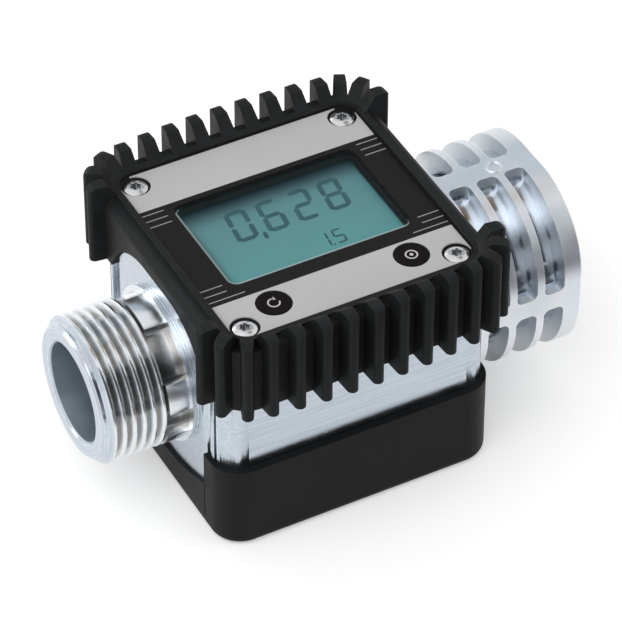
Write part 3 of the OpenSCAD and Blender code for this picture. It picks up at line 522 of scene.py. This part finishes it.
digit_height, digit_width, stroke, slant = 10.0 * mm, 5.1 * mm, 1.15 * mm, 0.10
small_height, small_width, small_stroke = 4.6 * mm, 2.5 * mm, 0.5 * mm
segment_lift, segment_t = 0.01 * mm, 0.03 * mm
big_digits, big_x, big_y, big_pitch = "0628", -12.8 * mm, 0.9 * mm, 7.4 * mm
small_digits, small_x, small_y, small_pitch = "15", 3.0 * mm, -8.9 * mm, 3.6 * mm
lit_segments = {"0": "abcdef", "1": "bc", "2": "abged", "5": "afgcd", "6": "afgedc", "8": "abcdefg"}
corner_share, across_share, upright_share, upper_share, lower_share = 0.42, 1.15, 0.65, 0.74, 0.26
comma_drop_share, comma_width_share, comma_length_share = 0.2, 0.8, 2.0


def bar(bm, middle, size):
    """One display segment with cut corners, leaning with its digit."""
    made = bmesh.ops.create_cube(bm, size=1.0)["verts"]
    bmesh.ops.scale(bm, verts=made, vec=(*size, segment_t))
    upright = [e for e in {e for v in made for e in v.link_edges}
               if abs(e.verts[0].co.z - e.verts[1].co.z) > segment_t / 2]
    cut = bmesh.ops.bevel(bm, geom=upright, offset=min(size) * corner_share, segments=1, profile=0.5,
                          affect="EDGES", material=-1)
    made = list({v for v in made if v.is_valid} | set(cut["verts"]))
    bmesh.ops.translate(bm, verts=made, vec=(*middle, display_high.z + segment_lift + segment_t / 2))
    for v in made:
        v.co.x += slant * (v.co.y - big_y)


def digit(bm, character, x, y, width, height, thick):
    """The lit segments of one figure of a seven-segment display."""
    across = (width - thick * across_share, thick)
    upright = (thick, height / 2 - thick * upright_share)
    left, middle, right = thick / 2, width / 2, width - thick / 2
    upper, lower = height * upper_share, height * lower_share
    ends = {"a": ((middle, height - thick / 2), across), "g": ((middle, height / 2), across),
            "d": ((middle, thick / 2), across), "f": ((left, upper), upright), "b": ((right, upper), upright),
            "e": ((left, lower), upright), "c": ((right, lower), upright)}
    for segment in lit_segments[character]:
        (dx, dy), size = ends[segment]
        bar(bm, (x + dx, y + dy), size)


bm = bmesh.new()
for place, character in enumerate(big_digits):
    digit(bm, character, big_x + place * big_pitch, big_y, digit_width, digit_height, stroke)
for place, character in enumerate(small_digits):
    digit(bm, character, small_x + place * small_pitch, small_y, small_width, small_height, small_stroke)
bar(bm, (big_x + digit_width + stroke, big_y - stroke * comma_drop_share),
    (stroke * comma_width_share, stroke * comma_length_share))
bar(bm, (small_x + small_width + small_stroke, small_y + small_stroke / 2), (small_stroke, small_stroke))
segments = mesh_object("display_segments", bm)
segment_ink = grained("segment_ink", colour=(0.040, 0.115, 0.130), roughness=0.4, fine=8000.0, tint=0.15,
                      worn=(0.06, 0.14, 0.15))
segments.data.materials.append(segment_ink)
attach(segments, body_of(frame["nodes"]["lcd_panel"])[0])

# Window
# A clear moulded lens drops into the face plate, a little below the label. Its rim is
# chamfered, and a painted highlight along the rim's left and front edges draws the thin light line there.
lens_low, lens_high = corners("window_lens")
rim_r, rim_left, rim_front = 1.6 * mm, 0.70 * mm, 1.05 * mm
lens_tint, rim_highlight, lens_alpha, rim_alpha = (0.05, 0.10, 0.11), (0.33, 0.40, 0.41), 0.06, 0.7


def past_straight(tree, value, low, high):
    """How far a spot lies past the straight part of the rim's side."""
    off_middle = calc(tree, "ABSOLUTE", calc(tree, "SUBTRACT", value, (low + high) / 2))
    return calc(tree, "MAXIMUM", calc(tree, "SUBTRACT", off_middle, (high - low) / 2 - rim_r), 0.0)


lens_clear, tree, shader = new_material("lens_clear")
part = spot_parts(tree)
reach = apart(tree, past_straight(tree, part["X"], lens_low.x + rim_left, lens_high.x),
              past_straight(tree, part["Y"], lens_low.y + rim_front, lens_high.y))
# Painted highlight: a pale band along the lens's left and front edges only.
rim = calc(tree, "GREATER_THAN", reach, rim_r)
tree.links.new(ranged(tree, rim, lens_alpha, rim_alpha), shader.inputs["Alpha"])
tree.links.new(blended(tree, rim, lens_tint, rim_highlight), shader.inputs["Base Color"])
shader.inputs["Roughness"].default_value = 0.06
shader.inputs["Specular IOR Level"].default_value = 0.3
eased(copied("window_lens"), "window_lens", "clear_lens", lens_clear, width=0.25 * mm)

# Face
# The black face plate carries a printed foil label: two pale bands, a black middle, and groups
# of three thin lines at the four corners of the black.
face_plastic = grained("face_plastic", colour=(0.012, 0.012, 0.013), roughness=0.4, fine=6000.0,
                       worn=(0.03, 0.03, 0.032))
finished(face_plastic, "face_plate")

band_y, line_y, line_pitch, line_half = 16.96 * mm, 13.6 * mm, 2.0 * mm, 0.11 * mm
line_x, long_line_x = 23.2 * mm, 19.95 * mm
label_grey, label_black, label_line = (0.448, 0.442, 0.446), (0.012, 0.011, 0.011), (0.36, 0.35, 0.35)
speckle_share = 0.02
label_foil, tree, shader = new_material("label_foil")
part = spot_parts(tree)
far_x, far_y = calc(tree, "ABSOLUTE", part["X"]), calc(tree, "ABSOLUTE", part["Y"])
from_middle = calc(tree, "ABSOLUTE", calc(tree, "SUBTRACT", far_y, line_y))
in_group = calc(tree, "LESS_THAN", from_middle, line_pitch + line_half)
step = calc(tree, "PINGPONG", from_middle, line_pitch / 2)
on_line = calc(tree, "MULTIPLY", in_group, calc(tree, "LESS_THAN", step, line_half))
far_out = calc(tree, "GREATER_THAN", far_x, line_x)
front_line = calc(tree, "LESS_THAN", part["Y"], -(line_y + line_pitch / 2))
front_long = calc(tree, "MULTIPLY", front_line, calc(tree, "GREATER_THAN", far_x, long_line_x))
printed = calc(tree, "MULTIPLY", on_line, calc(tree, "MAXIMUM", far_out, front_long))
speckle = placed(tree, surface_grain, Fine=7000.0, Coarse=90.0)
grey = blended(tree, speckle["Mottle"], shaded(label_grey, -speckle_share), shaded(label_grey, speckle_share))
middle = blended(tree, printed, label_black, label_line)
foil = blended(tree, calc(tree, "GREATER_THAN", far_y, band_y), middle, grey)
tree.links.new(foil, shader.inputs["Base Color"])
tree.links.new(raised(tree, speckle["Height"], strength=0.12, depth=0.01 * mm), shader.inputs["Normal"])
shader.inputs["Roughness"].default_value = 0.5
shader.inputs["Specular IOR Level"].default_value = 0.08
finished(label_foil, "face_label")

# Buttons
# Two black keys stand flush in the label. Their caps are moulded, with a pale printed symbol:
# a round arrow on the left key, and a ring with a dot on the right one.
button_plastic = grained("button_plastic", colour=(0.007, 0.005, 0.005), roughness=0.5, fine=6000.0,
                         bump=0.3, worn=(0.014, 0.012, 0.012), specular=0.05)
print_grey = grained("print_grey", colour=(0.52, 0.50, 0.51), roughness=0.5, fine=8000.0, tint=0.05,
                     worn=(0.4, 0.4, 0.4))
print_t, symbol_r, symbol_line = 0.02 * mm, 1.25 * mm, 0.34 * mm
arrow_open, arrow_r, dot_r = math.radians(70), 0.62 * mm, 0.42 * mm
arrow_sides, dot_sides, ring_steps = 3, 24, 36


def key_middle(node):
    """The middle of a key's top."""
    low, high = corners(node)
    return Vector(((low.x + high.x) / 2, (low.y + high.y) / 2, high.z))


def ring_print(bm, middle, opening=0.0):
    """A flat printed ring, whole or with an opening."""
    ends = [bm.verts.new(middle + Vector((symbol_r + side * symbol_line / 2, 0, 0))) for side in (-1, 1)]
    first = [bm.edges.new(ends)]
    bmesh.ops.rotate(bm, verts=ends, cent=middle, matrix=Matrix.Rotation(opening, 3, "Z"))
    bmesh.ops.spin(bm, geom=ends + first, cent=middle, axis=(0, 0, 1), angle=2 * math.pi - opening,
                   steps=ring_steps, use_merge=opening == 0)


def printed_symbol(bm, name, node):
    """Gives the flat symbol its ink thickness and lays it on its key."""
    bmesh.ops.remove_doubles(bm, verts=bm.verts, dist=merge_gap)
    top = bmesh.ops.extrude_face_region(bm, geom=bm.faces[:])["geom"]
    lifted = [v for v in top if isinstance(v, bmesh.types.BMVert)]
    bmesh.ops.translate(bm, verts=lifted, vec=(0, 0, print_t))
    bmesh.ops.recalc_face_normals(bm, faces=bm.faces)
    symbol = mesh_object(name, bm)
    symbol.data.materials.append(print_grey)
    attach(symbol, body_of(frame["nodes"][node])[0])


eased(copied("reset_button"), "reset_button", "reset_key", button_plastic, width=0.15 * mm)
eased(copied("cal_button"), "cal_button", "cal_key", button_plastic, width=0.15 * mm)

bm = bmesh.new()
middle = key_middle("reset_button")
ring_print(bm, middle, arrow_open)
tip = middle + Vector((symbol_r * math.cos(arrow_open), symbol_r * math.sin(arrow_open), 0))
bmesh.ops.create_circle(bm, cap_ends=True, radius=arrow_r, segments=arrow_sides,
                        matrix=Matrix.Translation(tip) @ Matrix.Rotation(arrow_open - math.pi / 2, 4, "Z"))
printed_symbol(bm, "reset_symbol", "reset_button")

bm = bmesh.new()
middle = key_middle("cal_button")
ring_print(bm, middle)
bmesh.ops.create_circle(bm, cap_ends=True, radius=dot_r, segments=dot_sides,
                        matrix=Matrix.Translation(middle))
printed_symbol(bm, "cal_symbol", "cal_button")

# Face screws
# Four plated steel screws with six-lobed sockets sit in round recesses and clamp the face,
# the tray and the gasket to the body.
screw_head_r, screw_socket_r, socket_top = 2.65 * mm, 1.55 * mm, 0.2 * mm
screw_high = corners("face_screws")[1]
screw_bright, screw_grey, socket_shade = (0.80, 0.80, 0.81), (0.60, 0.60, 0.61), (0.34, 0.34, 0.345)
screw_mottle_share = 0.15
screw_steel, tree, shader = new_material("screw_steel")
part = spot_parts(tree)
from_x = calc(tree, "SUBTRACT", calc(tree, "ABSOLUTE", part["X"]), screw_high.x - screw_head_r)
from_y = calc(tree, "SUBTRACT", calc(tree, "ABSOLUTE", part["Y"]), screw_high.y - screw_head_r)
in_socket = calc(tree, "MULTIPLY", calc(tree, "LESS_THAN", apart(tree, from_x, from_y), screw_socket_r),
                 calc(tree, "LESS_THAN", part["Z"], screw_high.z - socket_top))
grain = placed(tree, surface_grain, Fine=3000.0, Coarse=500.0)
wear = placed(tree, edge_wear, Radius=0.25 * mm)["Mask"]
plated = blended(tree, grain["Mottle"], screw_grey, shaded(screw_grey, screw_mottle_share))
plated = blended(tree, wear, plated, screw_bright)
# Painted shade: the socket below the head's top is coloured darker.
tree.links.new(blended(tree, in_socket, plated, socket_shade), shader.inputs["Base Color"])
tree.links.new(raised(tree, grain["Height"], strength=0.2, depth=0.01 * mm), shader.inputs["Normal"])
shader.inputs["Metallic"].default_value = 1.0
shader.inputs["Roughness"].default_value = 0.22
eased(copied("face_screws"), "face_screws", "plated_face_screws", screw_steel, width=0.25 * mm, segments=3)

# Finned guard
# A thick moulded rubber frame hugs the display head. Upright fins run all along its two long
# sides and fan out round the corners. Its two end walls are smooth, with well rounded tops.
fins_above_wall, wall_x, close_to = 4 * mm, 33.0 * mm, 0.05 * mm
end_round, end_flat, end_steps = 2.2 * mm, 23.0 * mm, 6
wall_top = corners("finned_guard")[1].z - fins_above_wall


def on_wall_top(v):
    """Whether a point lies on the outer upper edge of an end wall."""
    return abs(abs(v.co.x) - wall_x) < close_to and abs(v.co.z - wall_top) < close_to


bm = copied("finned_guard")
end_edges = [e for e in bm.edges if all(on_wall_top(v) for v in e.verts) and e.calc_length() > end_flat]
bmesh.ops.bevel(bm, geom=end_edges, offset=end_round, offset_type="OFFSET", segments=end_steps,
                profile=0.5, affect="EDGES", clamp_overlap=False, material=-1)
guard_rubber = grained("guard_rubber", colour=(0.0120, 0.0130, 0.0138), roughness=0.5, fine=5000.0,
                       coarse=300.0, bump=0.25, tint=0.15, worn=(0.024, 0.025, 0.026),
                       wear_radius=0.6 * mm, specular=0.1)
eased(bm, "finned_guard", "rubber_guard", guard_rubber, width=0.5 * mm, segments=3)

# Batteries
# Two small cells lie side by side in the bay under the chamber, between sprung contact leaves.
# Two insulated leads go up to the circuit board.
lead_insulation = grained("lead_insulation", colour=(0.35, 0.02, 0.02), roughness=0.4, fine=7000.0)
leaf_metal = grained("leaf_metal", colour=(0.70, 0.66, 0.55), roughness=0.25, metallic=1.0,
                     stretch=(1.0, 1.0, 0.1))
finished(lead_insulation, "battery_leads")
finished(leaf_metal, "battery_contacts")

wrap_blue, cell_steel, wrap_half = (0.02, 0.09, 0.20), (0.62, 0.62, 0.63), 20.6 * mm
cell_wrap, tree, shader = new_material("cell_wrap")
bare = calc(tree, "GREATER_THAN", calc(tree, "ABSOLUTE", spot_parts(tree)["X"]), wrap_half)
crinkle = placed(tree, surface_grain, Fine=1500.0, Coarse=200.0)
tree.links.new(blended(tree, bare, wrap_blue, cell_steel), shader.inputs["Base Color"])
tree.links.new(bare, shader.inputs["Metallic"])
tree.links.new(raised(tree, crinkle["Height"], strength=0.2, depth=0.02 * mm), shader.inputs["Normal"])
shader.inputs["Roughness"].default_value = 0.3
finished(cell_wrap, "battery_cells")

# Lower cover
# A moulded tub closes the battery bay from below. Its end walls dip under the pipe, and four
# screws hold it from the underside.
cover_plastic = grained("cover_plastic", colour=(0.0085, 0.0090, 0.0098), roughness=0.5, fine=6000.0,
                        coarse=200.0, bump=0.3, tint=0.1, worn=(0.020, 0.021, 0.022),
                        wear_radius=0.5 * mm, specular=0.1)
eased(copied("lower_cover"), "lower_cover", "bottom_cover", cover_plastic, width=0.5 * mm, segments=3)
zinc_steel = grained("zinc_steel", colour=(0.50, 0.50, 0.52), roughness=0.3, metallic=1.0, fine=3000.0,
                     tint=0.08)
eased(copied("cover_screws"), "cover_screws", "zinc_cover_screws", zinc_steel, width=0.15 * mm)

bpy.context.scene.view_settings.view_transform = "Standard"
